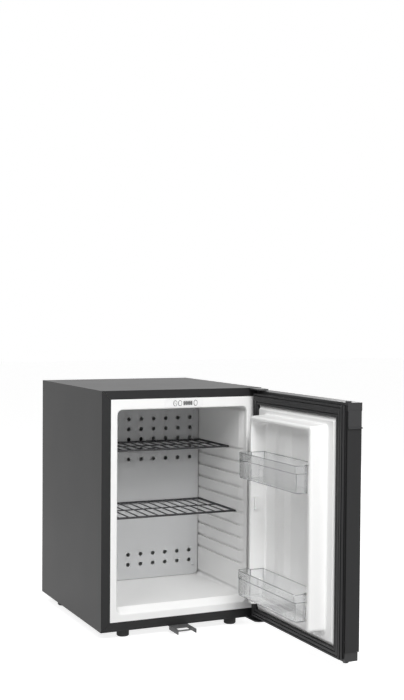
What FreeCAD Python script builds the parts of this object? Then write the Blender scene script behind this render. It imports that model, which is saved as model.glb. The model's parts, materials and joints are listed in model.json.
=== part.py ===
import FreeCAD, Part
import math
import os

# Minibar fridge with its door open. Millimetres, +Z up.
# The build frame has X from the cabinet's left side, Y back from its front plane and Z up from its base pan.
# At the end everything is moved so that the origin is the bottom centre of the whole object.
V = FreeCAD.Vector

# Clearances and cuts
overrun = 6.0
fit_gap = 0.2
running_gap = 0.3
bearing_gap = 0.05

# Cabinet shell
cabinet_width = 402.0
cabinet_depth = 440.0
cabinet_height = 545.0
sheet = 1.0
side_flange = 22.0
top_flange = 20.0
bottom_flange = 21.0
mitre_gap = 0.6
rear_flange = 14.0

# Inner liner
liner_wall = 1.5
mouth_side = 38.5
mouth_top = 44.0
mouth_bottom = 37.0
mouth_radius = 12.0
mouth_edge_radius = 3.0
floor_height = 51.0
sill_depth = 18.0
rear_space = 64.0
rear_insulation = 47.5
groove_pitch = 30.2
groove_height = 6.2
groove_rise = 71.4
groove_headroom = 80.0
rib_depth = 4.0
rib_front = 14.0
rib_slope = 20.0
rib_end_gap = 2.0

# Cold air panel
chamber_depth = 65.0
panel_thickness = 2.0
panel_gap = 1.0
panel_side_gap = 4.5
hole_radius = 5.0
hole_columns = 9
hole_column_pitch = 33.4
hole_rows = 5
hole_row_pitch = 25.2
hole_row_drop = 47.0
return_rows = 2
return_row_rise = 38.0
post_radius = 5.0
post_inset_x = 18.0
post_inset_z = 25.0

# Wire shelves
frame_rod_radius = 2.5
wire_radius = 1.5
wire_pitch = 26.0
shelf_side_gap = 0.6
shelf_rear_gap = 1.5
upper_shelf_setback = 91.0
lower_shelf_setback = 51.5

# Control fascia
fascia_width = 96.0
fascia_height = 18.0
fascia_thickness = 2.2
fascia_drop = 32.0
fascia_radius = 2.0
display_width = 23.0
display_height = 10.0
display_thickness = 1.4
display_offset = 9.5
button_width = 7.0
button_height = 11.0
button_offsets = (-22.0, -10.0, 29.0)
button_proud = 0.5
button_flange = 1.0
button_flange_thickness = 0.8
button_travel = 1.0
board_thickness = 1.6
board_inset = 5.0
switch_width = 5.0
switch_gap = 0.1
board_post = 4.0
pocket_depth = 12.0
pocket_margin = 3.0

# Cavity lamp
lamp_width = 60.0
lamp_length = 24.0
lamp_front = 60.0
lamp_lip = 3.0
lamp_lip_thickness = 1.5
lamp_board_height = 4.0
lamp_pocket_height = 10.0
lamp_post = 4.0
led_size = 5.0
led_height = 1.2
led_pitch = 16.0
led_count = 3

# Cooling unit
cooling_drop = 97.0
block_width = 60.0
block_height = 40.0
module_size = 40.0
module_thickness = 4.0
cold_sink_size = 110.0
cold_sink_base = 6.0
cold_fin_length = 22.0
cold_fin_pitch = 7.0
fin_thickness = 2.0
hot_sink_width = 160.0
hot_sink_height = 140.0
hot_sink_base = 6.0
hot_fin_length = 20.0
hot_fin_pitch = 8.0
clamp_screw_offset = 25.0
cold_fan_size = 80.0
cold_fan_thickness = 15.0
cold_fan_stand_off = 47.0
hot_fan_size = 92.0
hot_fan_thickness = 25.0
fan_rim = 2.0
fan_tip_gap = 1.5
fan_hub_radius = 16.0
fan_cup_radius = 14.0
fan_strut = 4.0
fan_cup_thickness = 3.0
fan_shaft_radius = 1.5
fan_hub_margin = 2.0
fan_blades = 7
fan_blade_thickness = 1.6
fan_blade_chord_share = 0.7
fan_blade_tilt = 35.0
fan_hole_radius = 2.2
fan_hole_inset = 4.2
shroud_margin = 7.0
shroud_plate = 3.0
shroud_leg = 8.0

# Rear compartment
supply_width = 110.0
supply_depth = 45.0
supply_height = 70.0
supply_inset_x = 30.0
supply_front_gap = 4.0
supply_slot_width = 3.0
supply_slot_pitch = 9.0
supply_slot_depth = 2.0
supply_slot_margin = 10.0
supply_slot_count = 10
gland_radius = 8.0
gland_flange_radius = 11.0
gland_flange_thickness = 3.0
gland_length = 16.0
gland_bore = 4.0
gland_x = 60.0
gland_z = 110.0
grille_radius = 44.0
grille_hole_radius = 3.0
grille_pitch = 9.0
vent_width = 30.0
vent_height = 5.0
vent_count = 8
vent_pitch = 42.0
vent_inset = 40.0
vent_row_pitch = 16.0
vent_rows = 2

# Screws
screw_radius = 2.0
screw_head_radius = 4.0
screw_head_height = 2.0
screw_length = 14.0
screw_gap = 0.1
screw_dome = 0.9
cross_length = 4.4
cross_width = 0.9
cross_depth = 1.2
cover_screw_inset = 60.0

# Feet
foot_radius = 14.4
foot_height = 18.5
foot_chamfer = 2.0
foot_bore_depth = 8.0
foot_bore_radius = 5.0
front_foot_x = 64.5
front_foot_y = 30.0
rear_foot_x = 30.0
rear_foot_inset = 85.0

# Hinges
door_gap = 13.0
pin_edge = 10.0
pin_inset = 8.0
pin_radius = 4.0
pin_reach = 14.0
plate_thickness = 3.0
plate_width = 33.0
plate_margin = 26.0
top_plate_back = 36.0
bottom_plate_back = 44.0
bush_wall = 2.0
bush_flange = 1.5
hinge_screw_places = (14.0, 30.0)

# Lock
lock_offset = -10.5
lock_bracket_width = 47.0
lock_bracket_reach = 50.0
lock_bracket_back = 34.0
lock_plate = 2.0
lock_horn = 7.0
lock_window_width = 36.0
lock_window_length = 20.0
lock_window_rim = 6.0
lock_screw_y = 18.0
lock_screw_spacing = 24.0
lock_height = 40.0
barrel_radius = 9.0
barrel_length = 10.5
barrel_proud = 1.5
key_slot_width = 1.6
key_slot_length = 9.0
crank_radius = 5.0
crank_pin_radius = 1.5
bolt_width = 20.0
bolt_thickness = 7.0
bolt_inset = 17.0
bolt_recess = 1.5
bolt_top = 15.0
housing_wall = 5.0
housing_top = 20.0

# Door
door_thickness = 34.0
door_bottom = 1.0
door_drop = 6.0
top_cap = 17.0
top_cap_proud = 1.0
bottom_cap = 19.0
bottom_cap_inset = 2.0
cap_wall = 3.0
boss_wall = 4.0
skin_return = 14.0
plug_head_radius = 6.0
plug_proud = 3.0
plug_stem_radius = 5.0
plug_stem_length = 10.0
grip_drop = 54.0
grip_height = 37.0
grip_proud = 1.2
grip_lip = 2.0
grip_lip_height = 3.0
grip_inset = 1.0
grip_overhang = 1.5

# Door liner and gasket
door_liner_wall = 1.5
flange_cover = 3.0
gasket_inset = 6.0
gasket_side = 26.0
gasket_bottom = 25.0
gasket_top = 31.0
gasket_height = 12.0
gasket_groove = 2.0
gasket_groove_depth = 4.0
gasket_inner_lip = 5.0
gasket_outer_lip = 4.0
magnet_width = 5.0
magnet_thickness = 3.0
magnet_cover = 2.0
plateau_height = 12.6
plateau_shoulder = 5.0
plateau_slope = 10.0
plateau_radius = 12.0
ridge_height = 51.7
ridge_inset = 57.5
ridge_width = 17.5
ridge_rise = 49.5
ridge_drop = 50.0
ridge_band = 14.0
ridge_radius = 10.0
hinge_corner_radius = 18.0
ridge_draft_share = 0.06
crest_radius = 6.5
crest_inner_radius = 1.5
ridge_base_radius = 5.0
bulge_place = 155.0
bulge_width = 82.0
bulge_slope = 27.0
bulge_height = 5.0
boss_depth = 5.0
boss_place = 21.0
boss_height = 28.0
boss_drop = 267.0
boss_length = 10.0

# Door bins
bin_wall = 2.2
bin_reach = 81.0
bin_overlap = 8.0
bin_crest_gap = 1.0
bin_back_gap = 2.0
bin_side_gap = 2.0
bin_height = 59.0
bin_radius = 6.0
bin_rim_height = 17.0
bin_rim_proud = 1.2
upper_bin_drop = 194.0
lower_bin_rise = 74.0
lug_reach = 7.0
lug_root = 4.0
lug_width = 10.0
lug_height = 18.0
lug_top = 38.0
lug_place = 10.0

# The door stands open at this angle
door_rest_angle = 90.0

# Worked out places
middle_x = cabinet_width / 2
cover_front = cabinet_depth - sheet
ceiling_height = cabinet_height - mouth_top
flange_top = cabinet_height - top_flange
insulation_back = cabinet_depth - rear_space
liner_back = insulation_back - rear_insulation
liner_depth = liner_back - liner_wall
panel_front = liner_depth - chamber_depth
first_seat = floor_height + groove_rise
groove_count = int((ceiling_height - mouth_radius - groove_headroom - first_seat) // groove_pitch) + 1
seats = [first_seat + index * groove_pitch for index in range(groove_count)]
upper_seat = seats[-1]
lower_seat = seats[groove_count // 2 - 1]
fascia_centre_z = cabinet_height - fascia_drop
cooling_height = ceiling_height - cooling_drop
cold_fan_front = liner_depth - cold_fan_stand_off
rear_foot_y = cabinet_depth - rear_foot_inset
lock_centre_x = middle_x + lock_offset
pin_x = cabinet_width - pin_edge
pin_y = -(door_gap + pin_inset)
door_top = cabinet_height - door_drop
door_outer = -(door_gap + door_thickness)
bush_radius = pin_radius + bearing_gap + bush_wall
boss_radius = bush_radius + boss_wall
barrel_z = lock_height
grip_bottom = door_top - grip_drop
ridge_bottom = door_bottom + ridge_rise
ridge_top = door_top - ridge_drop
boss_bottom = door_top - boss_drop
upper_bin_bottom = door_top - upper_bin_drop
lower_bin_bottom = door_bottom + lower_bin_rise
bolt_travel = 2 * crank_radius * math.sin(math.radians(45))

parts = {}
door_nodes = []


# Simple solids
def box(x0, x1, y0, y1, z0, z1):
    return Part.makeBox(x1 - x0, y1 - y0, z1 - z0, V(x0, y0, z0))


def rod_x(x0, x1, y, z, radius):
    return Part.makeCylinder(radius, x1 - x0, V(x0, y, z), V(1, 0, 0))


def rod_y(y0, y1, x, z, radius):
    return Part.makeCylinder(radius, y1 - y0, V(x, y0, z), V(0, 1, 0))


def rod_z(z0, z1, x, y, radius):
    return Part.makeCylinder(radius, z1 - z0, V(x, y, z0), V(0, 0, 1))


def prism(points, direction):
    return Part.Face(Part.makePolygon(points + points[:1])).extrude(direction)


def round_wire(x0, x1, z0, z1, radius, top_radius, y):
    edges = []
    corners = (
        (x1, z1, 1, 1, top_radius),
        (x0, z1, -1, 1, radius),
        (x0, z0, -1, -1, radius),
        (x1, z0, 1, -1, radius),
    )
    ends = []
    for x, z, sx, sz, bend in corners:
        slant = bend * math.sqrt(0.5)
        cx = x - sx * bend
        cz = z - sz * bend
        on_x = V(x, y, cz)
        on_z = V(cx, y, z)
        middle = V(cx + sx * slant, y, cz + sz * slant)
        first, last = (on_x, on_z) if sx * sz > 0 else (on_z, on_x)
        ends.append((first, middle, last))
    for index, (first, middle, last) in enumerate(ends):
        edges.append(Part.Arc(first, middle, last).toShape())
        edges.append(Part.LineSegment(last, ends[(index + 1) % len(ends)][0]).toShape())
    return Part.Wire(edges)


def tablet(x0, x1, z0, z1, radius, y0, y1):
    return Part.Face(round_wire(x0, x1, z0, z1, radius, radius, y0)).extrude(V(0, y1 - y0, 0))


# A block with sloped sides, whose upper corner at the hinge has a radius of its own
def taper(x0, x1, z0, z1, radius, top_radius, y0, y1, draft_share):
    inset = draft_share * abs(y1 - y0)
    base = round_wire(x0, x1, z0, z1, radius, top_radius, y0)
    inner = (x0 + inset, x1 - inset, z0 + inset, z1 - inset)
    crest = round_wire(*inner, radius - inset, top_radius - inset, y1)
    return Part.makeLoft([base, crest], True, True)


def fuse(shapes):
    return shapes[0].multiFuse(shapes[1:]).removeSplitter() if len(shapes) > 1 else shapes[0]


def screw(x, y, z, direction, length=screw_length):
    head = rod_z(-screw_head_height, 0, 0, 0, screw_head_radius)
    rim = [edge for edge in head.Edges if edge.BoundBox.ZMax < fit_gap - screw_head_height]
    head = head.makeFillet(screw_dome, rim)
    for reach_x, reach_y in ((cross_length, cross_width), (cross_width, cross_length)):
        recess_top = cross_depth - screw_head_height
        low = -screw_head_height - overrun
        head = head.cut(box(-reach_x / 2, reach_x / 2, -reach_y / 2, reach_y / 2, low, recess_top))
    solid = fuse([head, rod_z(0, length, 0, 0, screw_radius)])
    solid.Placement = FreeCAD.Placement(V(x, y, z), FreeCAD.Rotation(V(0, 0, 1), direction))
    return solid


def screw_hole(x, y, z, direction, length=screw_length):
    start = V(x, y, z) - direction * overrun
    return Part.makeCylinder(screw_radius + screw_gap, length + overrun + screw_gap, start, direction)


def add(name, shapes, on_door=False):
    parts[name] = shapes if isinstance(shapes, list) else [shapes]
    if on_door:
        door_nodes.append(name)


UP = V(0, 0, 1)
BACK = V(0, 1, 0)
FRONT = V(0, -1, 0)

# Fixing places shared by the pieces that they join
foot_places = [
    (x, y)
    for inset_x, y in ((front_foot_x, front_foot_y), (rear_foot_x, rear_foot_y))
    for x in (inset_x, cabinet_width - inset_x)
]
foot_screw_start = -foot_bore_depth
foot_screw_holes = [screw_hole(x, y, foot_screw_start, UP) for x, y in foot_places]
hinge_screw_x = cabinet_width - plate_width / 2
bracket_screw_places = [(hinge_screw_x, y, -plate_thickness) for y in hinge_screw_places]
bracket_screw_places += [
    (lock_centre_x + side * lock_screw_spacing / 2, lock_screw_y, -lock_plate) for side in (-1, 1)
]
bracket_screw_holes = [screw_hole(x, y, z, UP) for x, y, z in bracket_screw_places]
cover_screw_heights = (cover_screw_inset, cabinet_height / 2, cabinet_height - cover_screw_inset)
cover_screw_places = [
    (x, z) for x in (rear_flange / 2, cabinet_width - rear_flange / 2) for z in cover_screw_heights
]
cover_screw_holes = [screw_hole(x, cabinet_depth, z, FRONT) for x, z in cover_screw_places]
panel_screw_places = [
    (x, z)
    for x in (mouth_side + post_inset_x, cabinet_width - mouth_side - post_inset_x)
    for z in (floor_height + post_inset_z, ceiling_height - post_inset_z)
]
panel_screw_holes = [screw_hole(x, panel_front, z, BACK) for x, z in panel_screw_places]
base_screw_holes = foot_screw_holes + bracket_screw_holes


# Cabinet shell
def side_panel():
    wall = box(0, sheet, 0, cover_front, 0, cabinet_height)
    outline = [
        V(0, 0, 0),
        V(side_flange, 0, bottom_flange),
        V(side_flange, 0, flange_top),
        V(0, 0, cabinet_height),
    ]
    front = prism(outline, V(0, sheet, 0))
    back = box(0, rear_flange, cover_front - sheet, cover_front, 0, cabinet_height)
    return fuse([wall, front, back])


def mirrored(shape):
    return shape.mirror(V(middle_x, 0, 0), V(1, 0, 0))


def flange_strip(edge_z, inner_z):
    outline = [
        V(mitre_gap, 0, edge_z),
        V(cabinet_width - mitre_gap, 0, edge_z),
        V(cabinet_width - side_flange - mitre_gap, 0, inner_z),
        V(side_flange + mitre_gap, 0, inner_z),
    ]
    strip = prism(outline, V(0, sheet, 0))
    between = box(sheet, cabinet_width - sheet, 0, sheet, 0, cabinet_height)
    return strip.common(between)


def shell_plate(z0, z1):
    plate = box(sheet, cabinet_width - sheet, 0, cover_front, z0, z1)
    for x0 in (sheet, cabinet_width - rear_flange):
        corner = box(x0, x0 + rear_flange - sheet, cover_front - sheet, cover_front, z0 - sheet, z1 + sheet)
        plate = plate.cut(corner)
    flanges = side_panel_solid.fuse(mirrored(side_panel_solid))
    return plate.cut(flanges)


side_panel_solid = side_panel()
top_plate_z = cabinet_height - sheet
top_bracket_z = top_plate_z - plate_thickness


def hinge_plate(z0, back, right):
    front = pin_y - plate_margin
    left = cabinet_width - plate_width
    plate = box(left, right, front, back, z0, z0 + plate_thickness)
    edges = [
        edge
        for edge in plate.Edges
        if abs(edge.BoundBox.ZLength - plate_thickness) < fit_gap and edge.BoundBox.YMax < front + fit_gap
    ]
    plate = plate.makeFillet(plate_margin / 2, edges)
    pin_hole = rod_z(z0 - overrun, z0 + plate_thickness + overrun, pin_x, pin_y, pin_radius + bearing_gap)
    return plate.cut(pin_hole)


top_bracket = hinge_plate(top_bracket_z, top_plate_back, cabinet_width - sheet - fit_gap)
bottom_bracket = hinge_plate(-plate_thickness, bottom_plate_back, cabinet_width)
for hole in bracket_screw_holes:
    bottom_bracket = bottom_bracket.cut(hole)

add("left_side_panel", side_panel_solid.cut(Part.makeCompound(cover_screw_holes)))
right_panel = mirrored(side_panel_solid).cut(Part.makeCompound(cover_screw_holes))
add("right_side_panel", right_panel.cut(top_bracket))
top_sheet = fuse([shell_plate(top_plate_z, cabinet_height), flange_strip(cabinet_height, flange_top)])
add("top_panel", top_sheet.cut(top_bracket))
pan = fuse([shell_plate(0, sheet), flange_strip(0, bottom_flange)])
add("base_pan", pan.cut(Part.makeCompound(base_screw_holes)))


# Inner liner with grooved side walls
def liner_mouth(grow):
    bottoms = ((0, mouth_bottom), (sill_depth, floor_height))
    wires = [
        round_wire(
            mouth_side - grow,
            cabinet_width - mouth_side + grow,
            bottom - grow,
            ceiling_height + grow,
            mouth_radius + grow,
            mouth_radius + grow,
            y,
        )
        for y, bottom in bottoms
    ]
    return Part.makeLoft(wires, True, True)


def liner_tub(grow, front, back):
    return tablet(
        mouth_side - grow,
        cabinet_width - mouth_side + grow,
        floor_height - grow,
        ceiling_height + grow,
        mouth_radius + grow,
        front,
        back,
    )


def rib(bottom, top):
    root = mouth_side - liner_wall / 2
    crest = mouth_side + rib_depth
    back = panel_front - rib_end_gap
    points = [
        V(root, rib_front, bottom),
        V(mouth_side, rib_front, bottom),
        V(crest, rib_front + rib_slope, bottom),
        V(crest, back, bottom),
        V(root, back, bottom),
    ]
    return prism(points, V(0, 0, top - bottom))


fascia_x0 = middle_x - fascia_width / 2
fascia_x1 = middle_x + fascia_width / 2
fascia_z0 = fascia_centre_z - fascia_height / 2
fascia_z1 = fascia_centre_z + fascia_height / 2
lamp_x0 = middle_x - lamp_width / 2
lamp_x1 = middle_x + lamp_width / 2
lamp_back = lamp_front + lamp_length
block_x0 = middle_x - block_width / 2
block_x1 = middle_x + block_width / 2
block_z0 = cooling_height - block_height / 2
block_z1 = cooling_height + block_height / 2


def inner_liner():
    flange = box(side_flange, cabinet_width - side_flange, 0, liner_wall, bottom_flange, flange_top)
    outer = fuse([flange, liner_tub(liner_wall, 0, liner_back), liner_mouth(liner_wall)])
    hollow = fuse([liner_tub(0, 0, liner_depth), liner_mouth(0)])
    shell = outer.cut(hollow)
    mouth_low = mouth_bottom - fit_gap
    rim = [
        edge
        for edge in shell.Edges
        if edge.BoundBox.YMax < fit_gap
        and edge.BoundBox.XMin > mouth_side - fit_gap
        and edge.BoundBox.XMax < cabinet_width - mouth_side + fit_gap
        and edge.BoundBox.ZMin > mouth_low
        and edge.BoundBox.ZMax < ceiling_height + fit_gap
    ]
    shell = shell.makeFillet(mouth_edge_radius, rim)
    bottoms = [floor_height + mouth_radius] + [seat + groove_height for seat in seats]
    tops = seats + [ceiling_height - mouth_radius]
    ribs = [rib(bottom, top) for bottom, top in zip(bottoms, tops)]
    ribs += [mirrored(one) for one in ribs]
    posts = [
        rod_y(panel_front + panel_thickness, liner_depth + liner_wall / 2, x, z, post_radius)
        for x, z in panel_screw_places
    ]
    shell = fuse([shell] + ribs + posts)
    windows = [
        tablet(
            fascia_x0 - fit_gap,
            fascia_x1 + fit_gap,
            fascia_z0 - fit_gap,
            fascia_z1 + fit_gap,
            fascia_radius + fit_gap,
            -overrun,
            overrun,
        ),
        box(
            lamp_x0 - fit_gap,
            lamp_x1 + fit_gap,
            lamp_front - fit_gap,
            lamp_back + fit_gap,
            ceiling_height - overrun,
            ceiling_height + overrun,
        ),
        box(
            block_x0 - fit_gap,
            block_x1 + fit_gap,
            liner_depth - overrun,
            liner_back + overrun,
            block_z0 - fit_gap,
            block_z1 + fit_gap,
        ),
    ]
    return shell.cut(Part.makeCompound(windows + panel_screw_holes))


add("inner_liner", inner_liner())

# Insulation boards between the shell and the liner
board_left = sheet
board_inner = mouth_side - liner_wall
board_floor = floor_height - liner_wall
board_ceiling = ceiling_height + liner_wall
left_board = box(board_left, board_inner, liner_wall, insulation_back, sheet, top_plate_z)
add("insulation_left", left_board.cut(Part.makeCompound(foot_screw_holes)))
right_board = mirrored(left_board).cut(top_bracket).cut(Part.makeCompound(base_screw_holes))
add("insulation_right", right_board)
board_right = cabinet_width - board_inner
top_board = box(board_inner, board_right, liner_wall, insulation_back, board_ceiling, top_plate_z)
control_pocket = box(
    fascia_x0 - pocket_margin,
    fascia_x1 + pocket_margin,
    liner_wall,
    liner_wall + pocket_depth,
    board_ceiling - overrun,
    fascia_z1 + pocket_margin,
)
lamp_pocket = box(
    lamp_x0 - fit_gap,
    lamp_x1 + fit_gap,
    lamp_front - fit_gap,
    lamp_back + fit_gap,
    board_ceiling - overrun,
    board_ceiling + lamp_pocket_height,
)
add("insulation_top", top_board.cut(control_pocket).cut(lamp_pocket).cut(top_bracket))
base_board = box(board_inner, board_right, liner_wall, insulation_back, sheet, board_floor)
base_board = base_board.cut(liner_mouth(liner_wall)).cut(Part.makeCompound(base_screw_holes))
add("insulation_base", base_board)
rear_board = box(board_inner, board_right, liner_back, insulation_back, board_floor, board_ceiling)
block_hole = box(
    block_x0 - fit_gap,
    block_x1 + fit_gap,
    liner_back - overrun,
    insulation_back + overrun,
    block_z0 - fit_gap,
    block_z1 + fit_gap,
)
add("insulation_rear", rear_board.cut(block_hole))


# Control fascia, display, keys and their board
def oval(centre_x, grow, y0, y1):
    return tablet(
        centre_x - button_width / 2 - grow,
        centre_x + button_width / 2 + grow,
        fascia_centre_z - button_height / 2 - grow,
        fascia_centre_z + button_height / 2 + grow,
        button_width / 2 + grow - bearing_gap,
        y0,
        y1,
    )


button_places = [middle_x + offset for offset in button_offsets]
display_x0 = middle_x + display_offset - display_width / 2
display_x1 = display_x0 + display_width
display_z0 = fascia_centre_z - display_height / 2
display_z1 = fascia_centre_z + display_height / 2
button_back = fascia_thickness + fit_gap + button_flange_thickness
board_front = button_back + button_travel + 2 * switch_gap + board_thickness
post_places = (fascia_x0 + board_post, fascia_x1 - 2 * board_post)


def control_fascia():
    plate = tablet(fascia_x0, fascia_x1, fascia_z0, fascia_z1, fascia_radius, 0, fascia_thickness)
    for x in button_places:
        plate = plate.cut(oval(x, fit_gap, -overrun, overrun))
    window = box(
        display_x0 - fit_gap,
        display_x1 + fit_gap,
        -overrun,
        display_thickness,
        display_z0 - fit_gap,
        display_z1 + fit_gap,
    )
    sight = box(
        display_x0 + fit_gap + bearing_gap,
        display_x1 - fit_gap - bearing_gap,
        -overrun,
        overrun,
        display_z0 + fit_gap + bearing_gap,
        display_z1 - fit_gap - bearing_gap,
    )
    plate = plate.cut(window).cut(sight)
    posts = [
        box(
            x,
            x + board_post,
            fascia_thickness - bearing_gap,
            board_front,
            fascia_centre_z - board_post / 2,
            fascia_centre_z + board_post / 2,
        )
        for x in post_places
    ]
    return fuse([plate] + posts)


add("control_fascia", control_fascia())
add("display_window", box(display_x0, display_x1, 0, display_thickness, display_z0, display_z1))
for index, x in enumerate(button_places):
    stem = oval(x, 0, -button_proud, fascia_thickness + fit_gap)
    flange = oval(x, button_flange, fascia_thickness + fit_gap, button_back)
    add("control_button_%d" % (index + 1), fuse([stem, flange]))
board = box(
    fascia_x0 + fit_gap,
    fascia_x1 - fit_gap,
    board_front,
    board_front + board_thickness,
    fascia_z0 + fit_gap,
    fascia_z1 - fit_gap,
)
switches = [
    box(
        x - switch_width / 2,
        x + switch_width / 2,
        button_back + button_travel + switch_gap,
        board_front + board_thickness / 2,
        fascia_centre_z - switch_width / 2,
        fascia_centre_z + switch_width / 2,
    )
    for x in button_places
]
add("control_board", fuse([board] + switches))

# Cavity lamp in the ceiling
lens_plug = box(lamp_x0, lamp_x1, lamp_front, lamp_back, ceiling_height - lamp_lip_thickness, board_ceiling)
lens_lip = box(
    lamp_x0 - lamp_lip,
    lamp_x1 + lamp_lip,
    lamp_front - lamp_lip,
    lamp_back + lamp_lip,
    ceiling_height - lamp_lip_thickness,
    ceiling_height,
)
lamp_board_z = board_ceiling + lamp_board_height
lens_posts = [
    box(x, x + lamp_post, lamp_front, lamp_back, ceiling_height, lamp_board_z)
    for x in (lamp_x0, lamp_x1 - lamp_post)
]
add("lamp_lens", fuse([lens_plug, lens_lip] + lens_posts))
lamp_plate = box(lamp_x0, lamp_x1, lamp_front, lamp_back, lamp_board_z, lamp_board_z + board_thickness)
lamp_middle_y = (lamp_front + lamp_back) / 2
led_half = led_size / 2
leds = []
for index in range(led_count):
    x = middle_x + (index - (led_count - 1) / 2) * led_pitch
    y0 = lamp_middle_y - led_half
    y1 = lamp_middle_y + led_half
    leds.append(box(x - led_half, x + led_half, y0, y1, lamp_board_z - led_height, lamp_board_z))
add("lamp_board", fuse([lamp_plate] + leds))


# Cold air panel
def cold_air_panel():
    panel = tablet(
        mouth_side + panel_side_gap,
        cabinet_width - mouth_side - panel_side_gap,
        floor_height + panel_gap,
        ceiling_height - panel_gap,
        mouth_radius - panel_gap,
        panel_front,
        panel_front + panel_thickness,
    )
    heights = [ceiling_height - hole_row_drop - row * hole_row_pitch for row in range(hole_rows)]
    heights += [floor_height + return_row_rise + row * hole_row_pitch for row in range(return_rows)]
    first = middle_x - (hole_columns - 1) / 2 * hole_column_pitch
    columns = [first + column * hole_column_pitch for column in range(hole_columns)]
    holes = [
        rod_y(panel_front - overrun, panel_front + overrun, x, z, hole_radius)
        for x in columns
        for z in heights
    ]
    return panel.cut(Part.makeCompound(holes + panel_screw_holes))


add("cold_air_panel", cold_air_panel())
add("panel_screws", [screw(x, panel_front, z, BACK) for x, z in panel_screw_places])


# Fans: a square frame with a motor cup and shaft, and a bladed rotor
def fan_frame(front, size, thickness):
    bore = size / 2 - fan_rim
    back = front + thickness
    half = size / 2
    frame = box(middle_x - half, middle_x + half, front, back, cooling_height - half, cooling_height + half)
    frame = frame.cut(rod_y(front - overrun, back + overrun, middle_x, cooling_height, bore))
    reach = half - fan_hole_inset
    fixings = [
        rod_y(front - overrun, back + overrun, x, z, fan_hole_radius)
        for x in (middle_x - reach, middle_x + reach)
        for z in (cooling_height - reach, cooling_height + reach)
    ]
    frame = frame.cut(Part.makeCompound(fixings))
    cup_front = back - fan_cup_thickness
    cup = rod_y(cup_front, back, middle_x, cooling_height, fan_cup_radius)
    shaft = rod_y(front + fan_hub_margin, back, middle_x, cooling_height, fan_shaft_radius)
    across = box(
        middle_x - half + fan_rim / 2,
        middle_x + half - fan_rim / 2,
        cup_front,
        back,
        cooling_height - fan_strut / 2,
        cooling_height + fan_strut / 2,
    )
    upright = across.copy()
    upright.rotate(V(middle_x, 0, cooling_height), BACK, 90)
    return fuse([frame, cup, shaft, across, upright])


def fan_rotor(front, size, thickness):
    hub_front = front + fan_hub_margin
    hub_back = front + thickness - fan_cup_thickness - running_gap
    tip = size / 2 - fan_rim - fan_tip_gap
    chord = thickness * fan_blade_chord_share
    middle_y = (hub_front + hub_back) / 2
    hub = rod_y(hub_front, hub_back, middle_x, cooling_height, fan_hub_radius)
    root = fan_hub_radius - fan_blade_thickness
    blade = Part.makeBox(
        tip - root,
        fan_blade_thickness,
        chord,
        V(middle_x + root, middle_y - fan_blade_thickness / 2, cooling_height - chord / 2),
    )
    blade.rotate(V(middle_x, middle_y, cooling_height), V(1, 0, 0), fan_blade_tilt)
    round_tip = rod_y(hub_front - chord, hub_back + chord, middle_x, cooling_height, tip)
    blade = blade.common(round_tip)
    solids = [hub]
    for index in range(fan_blades):
        copy = blade.copy()
        copy.rotate(V(middle_x, 0, cooling_height), BACK, 360 / fan_blades * index)
        solids.append(copy)
    bore_radius = fan_shaft_radius + bearing_gap
    bore = rod_y(hub_front - overrun, hub_back + overrun, middle_x, cooling_height, bore_radius)
    return fuse(solids).cut(bore)


def finned_sink(width, height, base_y0, base_y1, fin_y0, fin_y1, pitch):
    half = width / 2
    z0 = cooling_height - height / 2
    z1 = cooling_height + height / 2
    base = box(middle_x - half, middle_x + half, base_y0, base_y1, z0, z1)
    count = int((width - fin_thickness) // pitch) + 1
    first = middle_x - (count - 1) * pitch / 2
    fins = [
        box(
            first + index * pitch - fin_thickness / 2,
            first + index * pitch + fin_thickness / 2,
            fin_y0,
            fin_y1,
            z0,
            z1,
        )
        for index in range(count)
    ]
    return fuse([base] + fins)


# Cooling unit: cold side in the air chamber, hot side behind the insulation
cold_base_front = liner_depth - cold_sink_base
cold_sink = finned_sink(
    cold_sink_size,
    cold_sink_size,
    cold_base_front,
    liner_depth,
    cold_base_front - cold_fin_length,
    cold_base_front + cold_sink_base / 2,
    cold_fin_pitch,
)
add("cold_sink", cold_sink)
add("cold_fan_frame", fan_frame(cold_fan_front, cold_fan_size, cold_fan_thickness))
add("cold_fan_rotor", fan_rotor(cold_fan_front, cold_fan_size, cold_fan_thickness))


def fan_shroud():
    half = cold_sink_size / 2 + shroud_margin
    plate = box(
        middle_x - half,
        middle_x + half,
        cold_fan_front - shroud_plate,
        cold_fan_front,
        cooling_height - half,
        cooling_height + half,
    )
    opening = cold_fan_size / 2 - fan_rim
    plate = plate.cut(rod_y(0, liner_depth, middle_x, cooling_height, opening))
    legs = []
    for x in (middle_x - half, middle_x + half - shroud_leg):
        for z in (cooling_height - half, cooling_height + half - shroud_leg):
            legs.append(box(x, x + shroud_leg, cold_fan_front - shroud_plate, liner_depth, z, z + shroud_leg))
    sink_room = box(
        middle_x - cold_sink_size / 2 - fit_gap,
        middle_x + cold_sink_size / 2 + fit_gap,
        cold_fan_front,
        liner_depth,
        cooling_height - cold_sink_size / 2 - fit_gap,
        cooling_height + cold_sink_size / 2 + fit_gap,
    )
    return fuse([plate] + legs).cut(sink_room)


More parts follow.
